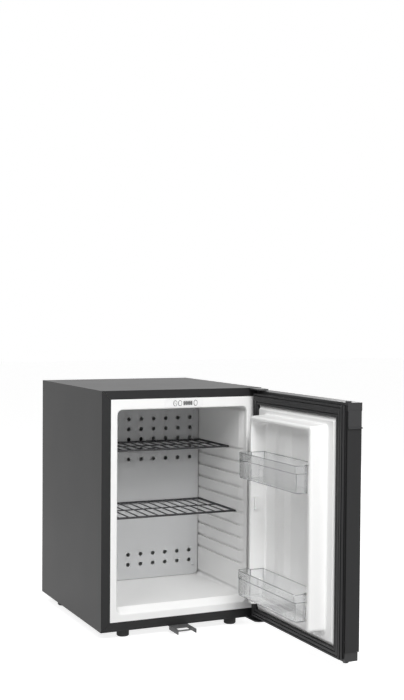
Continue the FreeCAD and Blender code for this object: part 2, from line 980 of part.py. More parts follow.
add("fan_shroud", fan_shroud())
module_front = insulation_back - module_thickness
clamp_places = [middle_x - clamp_screw_offset, middle_x + clamp_screw_offset]
hot_base_back = insulation_back + hot_sink_base
clamp_holes = [screw_hole(x, hot_base_back, cooling_height, FRONT) for x in clamp_places]
hot_fan_front = hot_base_back + hot_fin_length
head_room = screw_head_radius + running_gap
head_rooms = [rod_y(hot_base_back, hot_fan_front, x, cooling_height, head_room) for x in clamp_places]
block = box(block_x0, block_x1, liner_depth, module_front, block_z0, block_z1)
add("conduction_block", block.cut(Part.makeCompound(clamp_holes)))
module_half = module_size / 2
add(
    "thermoelectric_module",
    box(
        middle_x - module_half,
        middle_x + module_half,
        module_front,
        insulation_back,
        cooling_height - module_half,
        cooling_height + module_half,
    ),
)
hot_sink = finned_sink(
    hot_sink_width,
    hot_sink_height,
    insulation_back,
    hot_base_back,
    hot_base_back - hot_sink_base / 2,
    hot_base_back + hot_fin_length,
    hot_fin_pitch,
)
add("hot_sink", hot_sink.cut(Part.makeCompound(clamp_holes + head_rooms)))
add("clamp_screws", [screw(x, hot_base_back, cooling_height, FRONT) for x in clamp_places])
add("hot_fan_frame", fan_frame(hot_fan_front, hot_fan_size, hot_fan_thickness))
add("hot_fan_rotor", fan_rotor(hot_fan_front, hot_fan_size, hot_fan_thickness))

# Power supply and the gland that its lead leaves through
supply_front = insulation_back + supply_front_gap
supply_back = supply_front + supply_depth
supply_top = sheet + supply_height
supply_x1 = supply_inset_x + supply_width
supply = box(supply_inset_x, supply_x1, supply_front, supply_back, sheet, supply_top)
supply_slots = []
for index in range(supply_slot_count):
    x = supply_inset_x + supply_width / 2 + (index - (supply_slot_count - 1) / 2) * supply_slot_pitch
    supply_slots.append(
        box(
            x - supply_slot_width / 2,
            x + supply_slot_width / 2,
            supply_front + supply_slot_margin,
            supply_back - supply_slot_margin,
            supply_top - supply_slot_depth,
            supply_top + overrun,
        )
    )
add("power_supply", supply.cut(Part.makeCompound(supply_slots)))
gland_tube = rod_y(cabinet_depth - gland_length, cabinet_depth, gland_x, gland_z, gland_radius)
gland_back = cabinet_depth + gland_flange_thickness
gland_flange = rod_y(cabinet_depth, gland_back, gland_x, gland_z, gland_flange_radius)
gland_hole = rod_y(cabinet_depth - gland_length - overrun, gland_back + overrun, gland_x, gland_z, gland_bore)
add("cord_gland", fuse([gland_tube, gland_flange]).cut(gland_hole))


# Rear cover with a fan grille and vent slots
def rear_cover():
    cover = box(0, cabinet_width, cover_front, cabinet_depth, 0, cabinet_height)
    hole_front = cover_front - overrun
    hole_back = cabinet_depth + overrun
    holes = []
    steps = int(grille_radius // grille_pitch)
    for column in range(-steps, steps + 1):
        for row in range(-steps, steps + 1):
            dx = column * grille_pitch
            dz = row * grille_pitch
            if math.hypot(dx, dz) <= grille_radius:
                x = middle_x + dx
                z = cooling_height + dz
                holes.append(rod_y(hole_front, hole_back, x, z, grille_hole_radius))
    first = middle_x - (vent_count - 1) / 2 * vent_pitch - vent_width / 2
    lower_rows = [vent_inset + row * vent_row_pitch for row in range(vent_rows)]
    for z in lower_rows + [cabinet_height - vent_height - row for row in lower_rows]:
        for index in range(vent_count):
            x = first + index * vent_pitch
            holes.append(
                tablet(
                    x,
                    x + vent_width,
                    z,
                    z + vent_height,
                    vent_height / 2 - bearing_gap,
                    hole_front,
                    hole_back,
                )
            )
    holes.append(rod_y(hole_front, hole_back, gland_x, gland_z, gland_radius + fit_gap))
    return cover.cut(Part.makeCompound(holes + cover_screw_holes))


add("rear_cover", rear_cover())
add("rear_cover_screws", [screw(x, cabinet_depth, z, FRONT) for x, z in cover_screw_places])

# Hinge brackets, pins, lock bracket and their screws
add("top_hinge_bracket", top_bracket)
add("top_hinge_pin", rod_z(door_top - pin_reach, top_bracket_z + plate_thickness, pin_x, pin_y, pin_radius))
add("bottom_hinge_bracket", bottom_bracket)
add("bottom_hinge_pin", rod_z(-plate_thickness, door_bottom + pin_reach, pin_x, pin_y, pin_radius))


def lock_bracket():
    half = lock_bracket_width / 2
    x0 = lock_centre_x - half
    x1 = lock_centre_x + half
    plate = box(x0, x1, -lock_bracket_reach, lock_bracket_back, -lock_plate, 0)
    horn_z = -lock_plate - lock_horn
    horns = [box(x, x + lock_plate, -lock_bracket_reach, 0, horn_z, 0) for x in (x0, x1 - lock_plate)]
    window_front = -lock_bracket_reach + lock_window_rim
    window = box(
        lock_centre_x - lock_window_width / 2,
        lock_centre_x + lock_window_width / 2,
        window_front,
        window_front + lock_window_length,
        -overrun,
        overrun,
    )
    return fuse([plate] + horns).cut(window).cut(Part.makeCompound(bracket_screw_holes))


add("lock_bracket", lock_bracket())
add("bracket_screws", [screw(x, y, z, UP) for x, y, z in bracket_screw_places])


# Feet
def foot(x, y):
    body = rod_z(-foot_height, 0, x, y, foot_radius)
    rim = [edge for edge in body.Edges if edge.BoundBox.ZMax < fit_gap - foot_height]
    body = body.makeChamfer(foot_chamfer, rim)
    return body.cut(rod_z(-foot_height - overrun, -foot_bore_depth, x, y, foot_bore_radius))


add("feet", [foot(x, y).cut(Part.makeCompound(foot_screw_holes)) for x, y in foot_places])
add("foot_screws", [screw(x, y, foot_screw_start, UP) for x, y in foot_places])


# Wire shelves that ride on the liner's ribs
def shelf(front, seat):
    z = seat + running_gap + frame_rod_radius
    left = mouth_side + shelf_side_gap + frame_rod_radius
    right = cabinet_width - left
    y0 = front + frame_rod_radius
    y1 = panel_front - shelf_rear_gap - frame_rod_radius
    solids = [rod_y(y0, y1, x, z, frame_rod_radius) for x in (left, right)]
    solids += [rod_x(left, right, y, z, frame_rod_radius) for y in (y0, y1)]
    solids += [Part.makeSphere(frame_rod_radius, V(x, y, z)) for x in (left, right) for y in (y0, y1)]
    count = int((right - left) // wire_pitch)
    step = (right - left) / (count + 1)
    solids += [rod_y(y0, y1, left + step * (index + 1), z, wire_radius) for index in range(count)]
    solids.append(rod_x(left, right, (y0 + y1) / 2, z, wire_radius))
    return fuse(solids)


add("upper_shelf", shelf(upper_shelf_setback, upper_seat))
add("lower_shelf", shelf(lower_shelf_setback, lower_seat))


# Door, drawn closed. U runs from hinge edge to free edge, W from the slab's inner face to the cabinet.
def door_x(u):
    return cabinet_width - u


def door_y(w):
    return w - door_gap


def door_box(u0, u1, w0, w1, z0, z1):
    return box(door_x(u1), door_x(u0), door_y(w0), door_y(w1), z0, z1)


top_cap_z = door_top - top_cap
bottom_cap_z = door_bottom + bottom_cap
mirror_pin_x = cabinet_width - pin_x
lock_opening = barrel_radius + fit_gap


def door_skin():
    outer = door_box(0, cabinet_width, -door_thickness, sheet - door_thickness, bottom_cap_z, top_cap_z)
    edges = [
        door_box(u, u + sheet, -door_thickness, 0, bottom_cap_z, top_cap_z)
        for u in (0, cabinet_width - sheet)
    ]
    returns = [
        door_box(u, u + skin_return, -sheet, 0, bottom_cap_z, top_cap_z)
        for u in (0, cabinet_width - skin_return)
    ]
    skin = fuse([outer] + edges + returns)
    return skin.cut(rod_y(door_outer - overrun, door_outer + overrun, lock_centre_x, barrel_z, lock_opening))


def cap_pocket(z0, z1):
    pocket = door_box(
        cap_wall,
        cabinet_width - cap_wall,
        cap_wall - door_thickness + bottom_cap_inset,
        -cap_wall,
        z0,
        z1,
    )
    bosses = [rod_z(z0 - overrun, z1 + overrun, x, pin_y, boss_radius) for x in (pin_x, mirror_pin_x)]
    return pocket.cut(Part.makeCompound(bosses))


bolt_x0 = lock_centre_x - bolt_width / 2
bolt_x1 = lock_centre_x + bolt_width / 2
bolt_y1 = door_y(-bolt_inset)
bolt_y0 = bolt_y1 - bolt_thickness
bolt_z0 = door_bottom + bolt_recess
bolt_z1 = barrel_z + bolt_top


def bolt_channel(grow, z0, z1):
    return box(bolt_x0 - grow, bolt_x1 + grow, bolt_y0 - grow, bolt_y1 + grow, z0, z1)


top_pocket = cap_pocket(top_cap_z, door_top - cap_wall)
bottom_pocket = cap_pocket(door_bottom + cap_wall, bottom_cap_z)
bottom_pocket = bottom_pocket.cut(bolt_channel(boss_wall, door_bottom, bottom_cap_z + overrun))
bush_hole = bush_radius + bearing_gap
plug_hole = plug_stem_radius + fit_gap
plug_depth = plug_stem_length + plug_proud
top_cap_cuts = [
    top_pocket,
    rod_z(door_top - pin_reach, door_top + overrun, pin_x, pin_y, bush_hole),
    rod_z(door_top - plug_depth, door_top + overrun, mirror_pin_x, pin_y, plug_hole),
]
top_cap_solid = door_box(0, cabinet_width, -door_thickness - top_cap_proud, 0, top_cap_z, door_top)
top_cap_solid = top_cap_solid.cut(Part.makeCompound(top_cap_cuts))
bottom_cap_cuts = [
    bottom_pocket,
    rod_z(door_bottom - overrun, door_bottom + pin_reach, pin_x, pin_y, bush_hole),
    rod_z(door_bottom - overrun, door_bottom + plug_depth, mirror_pin_x, pin_y, plug_hole),
    bolt_channel(running_gap, door_bottom - overrun, bottom_cap_z + overrun),
]
bottom_cap_solid = door_box(
    bottom_cap_inset,
    cabinet_width - bottom_cap_inset,
    bottom_cap_inset - door_thickness,
    0,
    door_bottom,
    bottom_cap_z,
).cut(Part.makeCompound(bottom_cap_cuts))

# Lock housing, barrel with crank pin, and bolt
housing = box(
    bolt_x0 - housing_wall,
    bolt_x1 + housing_wall,
    door_outer + sheet,
    bolt_y1 + housing_wall / 2,
    bottom_cap_z,
    barrel_z + housing_top,
)
barrel_front = door_outer - barrel_proud
barrel_back = barrel_front + barrel_length
crank_sweep = crank_radius + 2 * crank_pin_radius
barrel_hole = barrel_radius + bearing_gap
housing_cuts = [
    bolt_channel(running_gap, bottom_cap_z - overrun, bolt_z1 + running_gap),
    rod_y(barrel_back - bearing_gap, bolt_y1 + running_gap, lock_centre_x, barrel_z, crank_sweep),
    rod_y(barrel_front - overrun, barrel_back + running_gap, lock_centre_x, barrel_z, barrel_hole),
]
add("lock_housing", housing.cut(fuse(housing_cuts)), True)
crank_offset = crank_radius * math.sin(math.radians(45))
barrel = rod_y(barrel_front, barrel_back, lock_centre_x, barrel_z, barrel_radius)
key_slot = box(
    lock_centre_x - key_slot_width / 2,
    lock_centre_x + key_slot_width / 2,
    barrel_front - overrun,
    barrel_front + overrun,
    barrel_z - key_slot_length / 2,
    barrel_z + key_slot_length / 2,
)
crank_pin = rod_y(
    barrel_back - barrel_proud,
    bolt_y1 - running_gap,
    lock_centre_x + crank_offset,
    barrel_z + crank_offset,
    crank_pin_radius,
)
add("lock_barrel", fuse([barrel.cut(key_slot), crank_pin]), True)
slot_z = barrel_z + crank_offset
slot = box(
    lock_centre_x + crank_offset - crank_pin_radius - running_gap,
    lock_centre_x + crank_radius + crank_pin_radius + running_gap,
    bolt_y0 - overrun,
    bolt_y1 + overrun,
    slot_z - crank_pin_radius - running_gap,
    slot_z + crank_pin_radius + running_gap,
)
add("lock_bolt", bolt_channel(0, bolt_z0, bolt_z1).cut(slot), True)

# Door liner: a plateau with sloped edges inside the gasket, and an inverted U ridge on it
plateau_z0 = door_bottom + gasket_bottom
plateau_z1 = door_top - gasket_top
ridge_x0 = ridge_inset
ridge_x1 = cabinet_width - ridge_inset
pocket_x0 = ridge_x0 + ridge_width
pocket_x1 = ridge_x1 - ridge_width


def ridge_block(shrink):
    return taper(
        ridge_x0 + shrink,
        ridge_x1 - shrink,
        ridge_bottom + shrink,
        ridge_top - shrink,
        ridge_radius,
        hinge_corner_radius,
        door_y(plateau_height - shrink),
        door_y(ridge_height - shrink),
        ridge_draft_share,
    )


def ridge_pocket(grow):
    flare = ridge_draft_share * (ridge_height + overrun - plateau_height)
    return taper(
        pocket_x0 - flare - grow,
        pocket_x1 + flare + grow,
        ridge_bottom - ridge_band - ridge_height,
        ridge_top - ridge_band + flare + grow,
        ridge_radius,
        hinge_corner_radius,
        door_y(ridge_height + overrun),
        door_y(plateau_height - overrun),
        ridge_draft_share,
    )


def plateau(shrink):
    x0 = gasket_side + shrink
    x1 = cabinet_width - x0
    z0 = plateau_z0 + shrink
    z1 = plateau_z1 - shrink
    edge = door_y(plateau_shoulder - shrink)
    face = door_y(plateau_height - shrink)
    slope_share = plateau_slope / (plateau_height - plateau_shoulder)
    slopes = taper(x0, x1, z0, z1, plateau_radius, plateau_radius, edge, face, slope_share)
    return fuse([box(x0, x1, door_y(0), edge, z0, z1), slopes])


def bin_lugs(bottom):
    lugs = []
    for x0 in (pocket_x0 - lug_root, pocket_x1 - lug_reach):
        lugs.append(
            box(
                x0,
                x0 + lug_reach + lug_root,
                door_y(plateau_height + lug_place),
                door_y(plateau_height + lug_place + lug_width),
                bottom + lug_top - lug_height,
                bottom + lug_top,
            )
        )
    return lugs


def crest_edges(solid, crest_y, inner):
    slack = ridge_draft_share * (ridge_height - plateau_height) + overrun / 2
    edges = []
    for edge in solid.Edges:
        bounds = edge.BoundBox
        across = bounds.XMin > pocket_x0 - slack and bounds.XMax < pocket_x1 + slack
        within = across and bounds.ZMax < ridge_top - ridge_band + slack
        if bounds.YMin > crest_y - fit_gap and within == inner:
            edges.append(edge)
    return edges


def ridge(shrink):
    solid = ridge_block(shrink).cut(ridge_pocket(shrink)).Solids[0]
    crest_y = door_y(ridge_height - shrink)
    return solid.makeFillet(crest_radius - shrink, crest_edges(solid, crest_y, False))


bin_bottoms = {"upper_bin": upper_bin_bottom, "lower_bin": lower_bin_bottom}
liner_void = fuse([plateau(door_liner_wall), ridge(door_liner_wall)])


def liner_flange(w0, w1):
    inset = gasket_inset + flange_cover
    return door_box(inset, cabinet_width - inset, w0, w1, door_bottom + inset, door_top - inset)


def raised_face():
    wall = ridge(0)
    wall = wall.makeFillet(crest_inner_radius, crest_edges(wall, door_y(ridge_height), True))
    solid = fuse([plateau(0), wall]).Solids[0]
    base_y = door_y(plateau_height)
    margin = gasket_side + plateau_slope + fit_gap
    foot = []
    for edge in solid.Edges:
        bounds = edge.BoundBox
        flat = abs(bounds.YMin - base_y) < fit_gap and abs(bounds.YMax - base_y) < fit_gap
        across = bounds.XMin > margin and bounds.XMax < cabinet_width - margin
        upright = bounds.ZMax < plateau_z1 - plateau_slope - fit_gap
        if flat and across and upright and bounds.ZMin > plateau_z0 + plateau_slope + fit_gap:
            foot.append(edge)
    return solid.makeFillet(ridge_base_radius, foot)


def door_liner():
    bulge_x = door_x(bulge_place)
    half = bulge_width / 2
    low = door_y(plateau_height - door_liner_wall / 2)
    high = door_y(plateau_height + bulge_height)
    outline = [
        V(bulge_x - half, low, ridge_bottom),
        V(bulge_x - half + bulge_slope, high, ridge_bottom),
        V(bulge_x + half - bulge_slope, high, ridge_bottom),
        V(bulge_x + half, low, ridge_bottom),
    ]
    bulge = prism(outline, V(0, 0, ridge_top - ridge_band - ridge_bottom))
    boss = box(
        pocket_x1 - boss_depth,
        pocket_x1 + lug_root,
        door_y(plateau_height + boss_place),
        door_y(plateau_height + boss_place + boss_length),
        boss_bottom,
        boss_bottom + boss_height,
    )
    lugs = [lug for bottom in bin_bottoms.values() for lug in bin_lugs(bottom)]
    return fuse([liner_flange(0, door_liner_wall), raised_face(), bulge, boss] + lugs).cut(liner_void)


add("door_liner", door_liner(), True)
add("door_skin", door_skin(), True)
add("door_top_cap", top_cap_solid, True)
add("door_bottom_cap", bottom_cap_solid, True)
core = door_box(sheet, cabinet_width - sheet, sheet - door_thickness, -sheet, bottom_cap_z, top_cap_z)
inner_face = door_box(
    skin_return,
    cabinet_width - skin_return,
    -sheet,
    0,
    bottom_cap_z,
    top_cap_z,
)
core = fuse([core, inner_face, liner_void, top_pocket, bottom_pocket])
lock_room = [housing, rod_y(door_outer - overrun, barrel_back, lock_centre_x, barrel_z, lock_opening)]
add("door_insulation", core.cut(Part.makeCompound(lock_room)), True)


# Gasket with a ring groove on each side of its magnet strip
def ring(inner, outer, w0, w1):
    whole = door_box(
        gasket_inset + outer,
        cabinet_width - gasket_inset - outer,
        w0,
        w1,
        door_bottom + gasket_inset + outer,
        door_top - gasket_inset - outer,
    )
    hollow = door_box(
        gasket_side - inner,
        cabinet_width - gasket_side + inner,
        w0 - overrun,
        w1 + overrun,
        plateau_z0 - inner,
        plateau_z1 + inner,
    )
    return whole.cut(hollow)


def magnet_bars(grow):
    w1 = gasket_height - magnet_cover + grow
    w0 = gasket_height - magnet_cover - magnet_thickness - grow
    half = magnet_width / 2 + grow
    shift = (gasket_outer_lip - gasket_inner_lip) / 2
    side_u = (gasket_inset + gasket_side) / 2 + shift
    low_z = (door_bottom + gasket_inset + plateau_z0) / 2 + shift
    high_z = (door_top - gasket_inset + plateau_z1) / 2 - shift
    end = gasket_side - grow
    bars = [
        door_box(u - half, u + half, w0, w1, plateau_z0 - grow, plateau_z1 + grow)
        for u in (side_u, cabinet_width - side_u)
    ]
    bars += [door_box(end, cabinet_width - end, w0, w1, z - half, z + half) for z in (low_z, high_z)]
    return bars


def door_gasket():
    body = ring(0, 0, 0, gasket_height).cut(liner_flange(-overrun, door_liner_wall))
    groove_w = gasket_height - gasket_groove_depth
    inner_groove = ring(gasket_inner_lip, 0, groove_w, gasket_height + overrun).cut(
        ring(gasket_inner_lip + gasket_groove, 0, groove_w - overrun, gasket_height + 2 * overrun)
    )
    outer_groove = ring(0, gasket_outer_lip, groove_w, gasket_height + overrun).cut(
        ring(0, gasket_outer_lip + gasket_groove, groove_w - overrun, gasket_height + 2 * overrun)
    )
    rooms = Part.makeCompound(magnet_bars(bearing_gap))
    return body.cut(Part.makeCompound([inner_groove, outer_groove])).cut(rooms)


add("door_gasket", door_gasket(), True)
add("gasket_magnets", magnet_bars(0), True)


# Grip on the free edge, plugs over the unused hinge holes, and hinge bushes
def door_grip():
    w0 = grip_inset - door_thickness
    w1 = -grip_inset
    free = cabinet_width
    lip_end = free + grip_proud + grip_lip
    plate = door_box(free, free + grip_proud, w0, w1, grip_bottom, grip_bottom + grip_height)
    lip = door_box(free, lip_end, w0 - grip_overhang, w1, grip_bottom, grip_bottom + grip_lip_height)
    return fuse([plate, lip])


add("door_grip", door_grip(), True)
top_plug = fuse(
    [
        rod_z(door_top, door_top + plug_proud, mirror_pin_x, pin_y, plug_head_radius),
        rod_z(door_top - plug_stem_length, door_top, mirror_pin_x, pin_y, plug_stem_radius),
    ]
)
bottom_plug = fuse(
    [
        rod_z(door_bottom - plug_proud, door_bottom, mirror_pin_x, pin_y, plug_head_radius),
        rod_z(door_bottom, door_bottom + plug_stem_length, mirror_pin_x, pin_y, plug_stem_radius),
    ]
)
add("hinge_hole_plugs", [top_plug, bottom_plug], True)


def bush(z0, z1):
    tube = rod_z(z0, z1, pin_x, pin_y, bush_radius)
    return tube.cut(rod_z(z0 - overrun, z1 + overrun, pin_x, pin_y, pin_radius + bearing_gap))


add("top_hinge_bush", bush(door_top - pin_reach, door_top), True)
washer = rod_z(running_gap, door_bottom, pin_x, pin_y, bush_radius + bush_flange)
washer = washer.cut(rod_z(-overrun, overrun, pin_x, pin_y, pin_radius + bearing_gap))
add("bottom_hinge_bush", fuse([bush(door_bottom, door_bottom + pin_reach), washer]), True)


# Clear bins that hang on the liner's lugs, wider in front of the ridge than in its pocket
bin_x0 = pocket_x0 + bin_side_gap
bin_x1 = pocket_x1 - bin_side_gap
bin_back = door_y(plateau_height + bulge_height + bin_back_gap)
bin_step = door_y(ridge_height + bin_crest_gap)
bin_front = door_y(bin_reach)


def bin_wing(z0, z1, grow):
    x0 = bin_x0 - bin_overlap - grow
    x1 = bin_x1 + bin_overlap + grow
    return box(x0, x1, bin_step - min(grow, 0), bin_front + grow, z0, z1)


def round_front(solid, radius):
    bounds = solid.BoundBox
    edges = [
        edge
        for edge in solid.Edges
        if edge.BoundBox.YMin > bounds.YMax - fit_gap and edge.BoundBox.ZMin < bounds.ZMax - fit_gap
    ]
    return solid.makeFillet(radius, edges)


def bin_form(z0, z1, shrink):
    rear = box(bin_x0 + shrink, bin_x1 - shrink, bin_back + shrink, bin_front - shrink, z0, z1)
    return round_front(fuse([rear, bin_wing(z0, z1, -shrink)]).Solids[0], bin_radius - shrink)


def bin_rim(z0, z1):
    rim = bin_wing(z0, z1, bin_rim_proud)
    corners = [
        edge
        for edge in rim.Edges
        if edge.BoundBox.YMin > bin_front and edge.BoundBox.ZLength > fit_gap
    ]
    return rim.makeFillet(bin_radius + bin_rim_proud, corners)


def door_bin(bottom):
    top = bottom + bin_height
    body = fuse([bin_form(bottom, top, 0), bin_rim(top - bin_rim_height, top)])
    hollow = bin_form(bottom + bin_wall, top + overrun, bin_wall)
    notch = box(
        bin_x0 - overrun,
        bin_x1 + overrun,
        door_y(plateau_height + lug_place) - running_gap,
        door_y(plateau_height + lug_place + lug_width) + running_gap,
        bottom - overrun,
        bottom + lug_top + running_gap,
    )
    notch_end = lug_reach + running_gap
    middle = box(bin_x0 + notch_end, bin_x1 - notch_end, bin_back, bin_front, bottom - overrun, top)
    return body.cut(hollow).cut(notch.cut(middle))


for name, bottom in bin_bottoms.items():
    add(name, door_bin(bottom), True)

# Swing the door open and set the origin at the bottom centre of the whole object
for name in door_nodes:
    for shape in parts[name]:
        shape.rotate(V(pin_x, pin_y, 0), UP, door_rest_angle)
whole = Part.makeCompound([shape for shapes in parts.values() for shape in shapes])
bounds = whole.BoundBox
origin = V((bounds.XMin + bounds.XMax) / 2, (bounds.YMin + bounds.YMax) / 2, bounds.ZMin)

os.makedirs("parts", exist_ok=True)
for name, shapes in parts.items():
    solids = [solid for shape in shapes for solid in shape.Solids]
    for solid in solids:
        solid.translate(origin * -1)
    node = solids[0] if len(solids) == 1 else Part.makeCompound(solids)
    node.exportStep("parts/%s.step" % name)
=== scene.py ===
import json
import math

import bpy
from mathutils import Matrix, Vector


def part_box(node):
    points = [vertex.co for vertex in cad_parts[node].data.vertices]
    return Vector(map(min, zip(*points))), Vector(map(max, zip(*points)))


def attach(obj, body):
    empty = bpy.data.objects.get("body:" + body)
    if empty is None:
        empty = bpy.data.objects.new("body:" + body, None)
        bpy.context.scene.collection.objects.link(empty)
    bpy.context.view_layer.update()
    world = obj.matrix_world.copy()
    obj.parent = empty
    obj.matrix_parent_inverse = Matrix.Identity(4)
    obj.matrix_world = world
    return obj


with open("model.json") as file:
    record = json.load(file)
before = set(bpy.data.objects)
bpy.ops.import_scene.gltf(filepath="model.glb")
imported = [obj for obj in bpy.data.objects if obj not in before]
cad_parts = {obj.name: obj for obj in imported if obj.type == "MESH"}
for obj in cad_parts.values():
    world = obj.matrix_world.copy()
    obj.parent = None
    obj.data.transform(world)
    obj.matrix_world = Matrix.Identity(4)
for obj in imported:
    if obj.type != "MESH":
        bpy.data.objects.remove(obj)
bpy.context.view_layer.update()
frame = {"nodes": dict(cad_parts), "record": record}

MM = 0.001
nodes = frame["nodes"]

# Camera fitted to the corners of the cabinet and door: focal length in pixels of the photograph's height,
# place in metres from the left side panel's low corner, and turns in degrees
IMAGE_HEIGHT = 700
FOCAL_PX = 1183.5
SENSOR_MM = 36.0
CAMERA_FROM_CORNER = (-0.9105, -2.4822, 0.7234)
LEVEL_DEG = 90.0
PITCH_DEG = -1.849
ROLL_DEG = -0.433
YAW_DEG = 24.956

# Lamps, all turned to one target: place in metres and watts
LAMP_SIZE = 1.4
LAMP_TARGET = (0.0, 0.1, 0.3)
LAMPS = {
    "key_lamp": ((-0.25, -2.2, 2.2), 71.0),
    "left_lamp": ((-2.0, -1.0, 2.3), 19.0),
    "rear_lamp": ((2.3, 1.7, 1.4), 40.0),
}

# Surroundings and floor: both look white, and give the part less light than they seem to
WHITE = (1.0, 1.0, 1.0, 1.0)
WORLD_LEVEL = 0.22
FLOOR_REACH = 14.0
FLOOR_COLOUR = (0.5, 0.5, 0.5, 1.0)
FLOOR_ROUGH = 0.9
FLOOR_SHINE = 0.1
FLOOR_GLOW = 0.84

# Range of a noise texture that colours and gloss are spread over
NOISE_LOW = 0.3
NOISE_HIGH = 0.7

# Usual coat or moulded skin: clouds and grains per metre, how uneven the gloss is, and the grain's depth
CLOUD = 9.0
CLOUD_DETAIL = 4.0
SMEARS_PER_CLOUD = 3.0
SMEAR_DETAIL = 5.0
UNEVEN_LEAST = 0.01
UNEVEN_SHARE = 0.5
GRAIN = 900.0
GRAIN_DETAIL = 2.0
GRAIN_MM = 0.02
GRAIN_STRENGTH = 0.25
SHINE = 0.5

# Bare metal: shares of colour and roughness that its drawn lines spread over, and their depth
LINE_DARK_SHARE = 0.86
LINE_PALE_SHARE = 1.08
LINE_SMOOTH_SHARE = 0.8
LINE_ROUGH_SHARE = 1.25
LINE_DETAIL = 2.0
LINE_STRENGTH = 0.15
LINE_DEPTH = 0.02 * MM

# Clear plastic, and the grey lines along its edges, painted shade for the darkening that refraction gives
# them
CLEAR_INDEX = 1.35
CLEAR_ALPHA = 0.5
CLEAR_TRANSMISSION = 1.0
CLEAR_MARKS = 40.0
CLEAR_MARK_DETAIL = 2.0
CLEAR_SMOOTH = 0.02
CLEAR_ROUGH = 0.05
EDGE_SHADE_ALPHA = 0.8
EDGE_SHADE_TRANSMISSION = 0.2

# Bevels that soften the edges of the carried-over solids, in metres
BEVEL_SEGMENTS = 2
BEVEL_ANGLE_DEG = 40.0
BEVELS = {
    "left_side_panel": 0.4 * MM,
    "right_side_panel": 0.4 * MM,
    "top_panel": 3.0 * MM,
    "base_pan": 0.4 * MM,
    "door_top_cap": 1.2 * MM,
    "door_bottom_cap": 1.2 * MM,
    "door_grip": 0.8 * MM,
    "door_gasket": 0.5 * MM,
    "control_fascia": 0.3 * MM,
    "top_hinge_bracket": 0.4 * MM,
    "bottom_hinge_bracket": 0.4 * MM,
    "lock_bracket": 0.4 * MM,
    "cold_air_panel": 0.3 * MM,
    "upper_bin": 0.5 * MM,
    "lower_bin": 0.5 * MM,
}

# Thin strips: directions of an arc in degrees, and how finely arcs and rounds are divided
RIGHT, UP, LEFT, DOWN, FULL_TURN = 0.0, 90.0, 180.0, 270.0, 360.0
ARC_STEPS = 8
STRIP_RESOLUTION = 2

# Edges of the clear bins, drawn as grey lines of painted shade, in metres, with the solid bin's rim,
# rounding, wings and the step behind them;
# the fall is the depth of the rounding at its middle
BIN_EDGE = 0.7 * MM
BIN_RIM = 17.0 * MM
BIN_RIM_PROUD = 1.2 * MM
BIN_RADIUS = 6.0 * MM
BIN_WING = 28.3 * MM
BIN_OVERLAP = 8.0 * MM
BIN_FALL = BIN_RADIUS * (1.0 - math.sqrt(0.5))

# Folds of the gasket, drawn as near-black strips of painted shade for their shadowed grooves: radius of the
# strip and places behind its sealing face, in metres
FOLD_LINE = 0.9 * MM
FOLD_PLACES = (2.2 * MM, 9.5 * MM)

# Outlines of the keys and the bar on the first key, in metres
KEYS = (1, 2, 3)
KEY_FLANGE = 1.0 * MM
KEY_GAP = 0.5 * MM
KEY_LINE = 0.7 * MM
KEY_MARK = 0.75 * MM
KEY_MARK_SHARE = 0.28
KEY_MARK_PROUD = 0.12 * MM

# Segments of the display, in metres, with a digit's shares of its own field
DIGIT_COUNT = 4
DIGIT_WIDE_SHARE = 0.55
DIGIT_TALL_SHARE = 0.68
DIGIT_GAP = 0.5 * MM
DIGIT_LINE = 0.9 * MM


# Finishes
class Surface:
    """A procedural material: the shader, object coordinates and the links between them."""

    def __init__(self, name):
        self.material = bpy.data.materials.new(name)
        self.material.use_nodes = True
        self.tree = self.material.node_tree
        self.shader = self.tree.nodes["Principled BSDF"]
        self.coords = self.tree.nodes.new("ShaderNodeTexCoord").outputs["Object"]

    def link(self, source, target):
        self.tree.links.new(source, target)

    def feed(self, source, name):
        self.link(source, self.shader.inputs[name])

    def set(self, **values):
        for key, value in values.items():
            self.shader.inputs[key.replace("_", " ")].default_value = value
        return self

    def noise(self, scale, detail, stretch=None):
        texture = self.tree.nodes.new("ShaderNodeTexNoise")
        texture.inputs["Scale"].default_value = scale
        texture.inputs["Detail"].default_value = detail
        source = self.coords
        if stretch:
            mapping = self.tree.nodes.new("ShaderNodeMapping")
            mapping.inputs["Scale"].default_value = stretch
            self.link(source, mapping.inputs["Vector"])
            source = mapping.outputs["Vector"]
        self.link(source, texture.inputs["Vector"])
        return texture.outputs["Fac"]

    def ramp(self, source, low, high):
        ramp = self.tree.nodes.new("ShaderNodeValToRGB")
        ramp.color_ramp.elements[0].position = NOISE_LOW
        ramp.color_ramp.elements[1].position = NOISE_HIGH
        ramp.color_ramp.elements[0].color = (*low, 1.0)
        ramp.color_ramp.elements[1].color = (*high, 1.0)
        self.link(source, ramp.inputs["Fac"])
        return ramp.outputs["Color"]

    def spread(self, source, low, high):
        spread = self.tree.nodes.new("ShaderNodeMapRange")
        spread.inputs["From Min"].default_value = NOISE_LOW
        spread.inputs["From Max"].default_value = NOISE_HIGH
        spread.inputs["To Min"].default_value = low
        spread.inputs["To Max"].default_value = high
        self.link(source, spread.inputs["Value"])
        return spread.outputs["Result"]

    def bump(self, source, strength, depth):
        bump = self.tree.nodes.new("ShaderNodeBump")
        bump.inputs["Strength"].default_value = strength
        bump.inputs["Distance"].default_value = depth
        self.link(source, bump.inputs["Height"])
        self.feed(bump.outputs["Normal"], "Normal")


def shade(colour, factor):
    return tuple(min(1.0, channel * factor) for channel in colour)


